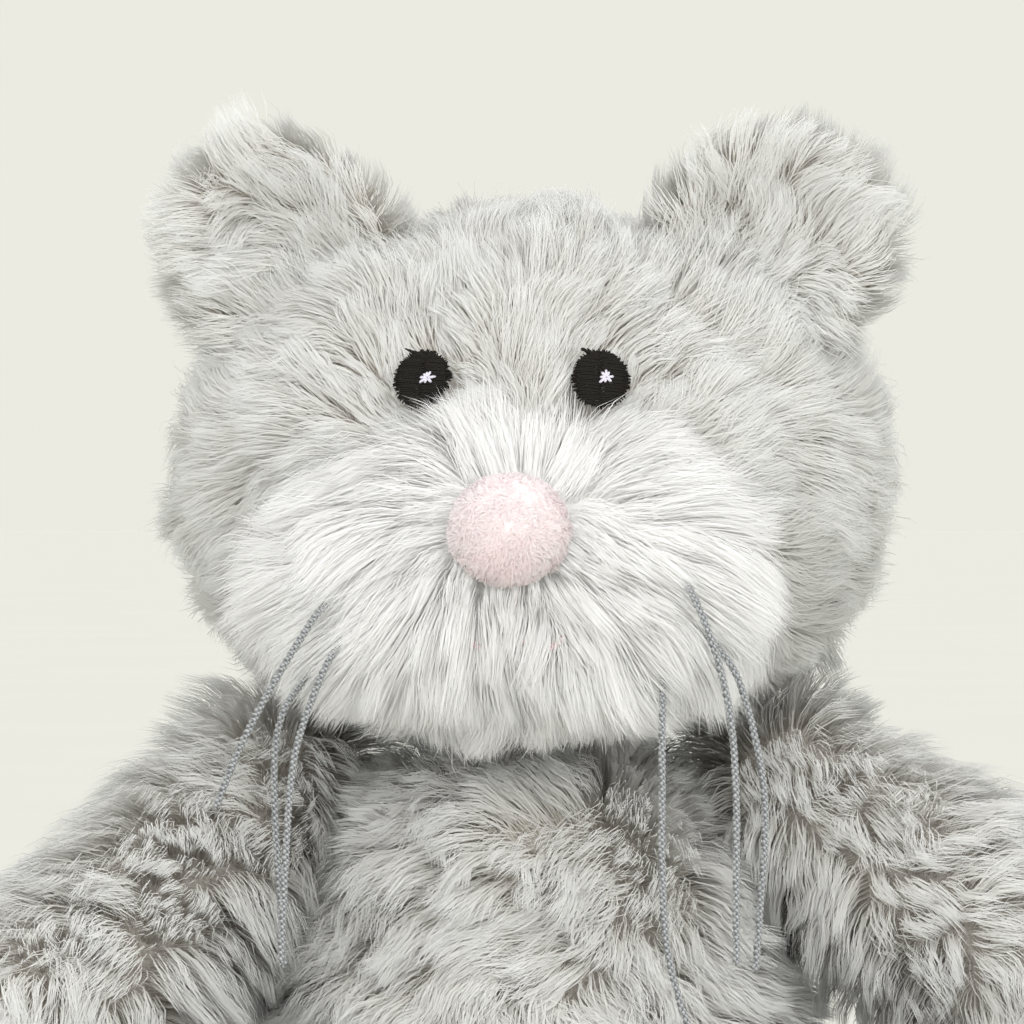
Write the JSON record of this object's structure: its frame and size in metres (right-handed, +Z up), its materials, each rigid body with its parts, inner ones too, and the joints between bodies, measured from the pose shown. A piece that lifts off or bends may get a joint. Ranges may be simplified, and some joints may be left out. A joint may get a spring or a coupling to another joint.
{
  "type": "plush cat",
  "caption": "Seated stuffed plush cat in grey fur with a white muzzle, white paws, a pink nose and thread whiskers; its head, arms, legs and tail move on their seams.",
  "frame": {"origin": "the middle of the flat seat, on the surface that the cat sits on", "axes": "+Z up, the face looks along -Y, +X to the right as seen from the front; left and right in the names are as seen from the front"},
  "size_m": [0.316, 0.2906, 0.295],
  "materials": {
    "grey_fur": "matte",
    "white_fur": "matte",
    "pink_plush": "matte",
    "pink_thread": "satin",
    "eye_thread": "satin",
    "white_thread": "satin",
    "whisker_cord": "satin",
    "polyester_filling": "matte",
    "calico": "matte",
    "pellets": "matte"
  },
  "bodies": {
    "torso": {"chest_panel": "grey_fur", "back_panel": "grey_fur", "base_panel": "grey_fur", "body_filling": "polyester_filling", "weight_pouch": "calico", "pouch_pellets": "pellets"},
    "head": {"face_panel": "grey_fur", "head_back_panel": "grey_fur", "muzzle_panel": "white_fur", "nose_cover": "pink_plush", "nose_filling": "polyester_filling", "mouth_stitch": "pink_thread", "left_eye": "eye_thread", "right_eye": "eye_thread", "left_eye_glint": "white_thread", "right_eye_glint": "white_thread", "left_ear_front": "grey_fur", "left_ear_back": "grey_fur", "right_ear_front": "grey_fur", "right_ear_back": "grey_fur", "head_filling": "polyester_filling", "whisker_1": "whisker_cord", "whisker_2": "whisker_cord", "whisker_3": "whisker_cord", "whisker_4": "whisker_cord", "whisker_5": "whisker_cord", "whisker_6": "whisker_cord"},
    "left_arm": {"left_arm_cloth": "grey_fur", "left_paw_cloth": "white_fur", "left_arm_filling": "polyester_filling"},
    "right_arm": {"right_arm_cloth": "grey_fur", "right_paw_cloth": "white_fur", "right_arm_filling": "polyester_filling"},
    "left_leg": {"left_leg_cloth": "grey_fur", "left_foot_cloth": "white_fur", "left_leg_filling": "polyester_filling"},
    "right_leg": {"right_leg_cloth": "grey_fur", "right_foot_cloth": "white_fur", "right_leg_filling": "polyester_filling"},
    "tail": {"tail_cloth": "grey_fur", "tail_filling": "polyester_filling"}
  },
  "joints": [
    {"name": "head_nod", "type": "hinge", "parent": "torso", "child": "head", "pos_m": [0, 0, 0.15], "axis": [1, 0, 0], "range_deg": [-15, 6], "stiffness_Nm_per_rad": 1.5},
    {"name": "left_arm_raise", "type": "hinge", "parent": "torso", "child": "left_arm", "pos_m": [-0.06, 0.002, 0.1365], "axis": [0, 1, 0], "range_deg": [-5, 45], "stiffness_Nm_per_rad": 0.4},
    {"name": "right_arm_raise", "type": "hinge", "parent": "torso", "child": "right_arm", "pos_m": [0.06, 0.002, 0.1365], "axis": [0, -1, 0], "range_deg": [-5, 45], "stiffness_Nm_per_rad": 0.4},
    {"name": "left_leg_lift", "type": "hinge", "parent": "torso", "child": "left_leg", "pos_m": [-0.042, -0.048, 0.0345], "axis": [-1, 0, 0], "range_deg": [0, 18], "stiffness_Nm_per_rad": 0.4},
    {"name": "right_leg_lift", "type": "hinge", "parent": "torso", "child": "right_leg", "pos_m": [0.042, -0.048, 0.0345], "axis": [-1, 0, 0], "range_deg": [0, 18], "stiffness_Nm_per_rad": 0.4},
    {"name": "tail_wag", "type": "hinge", "parent": "torso", "child": "tail", "pos_m": [0, 0.067, 0.0165], "axis": [0, 0, 1], "range_deg": [-20, 20], "stiffness_Nm_per_rad": 0.1}
  ]
}
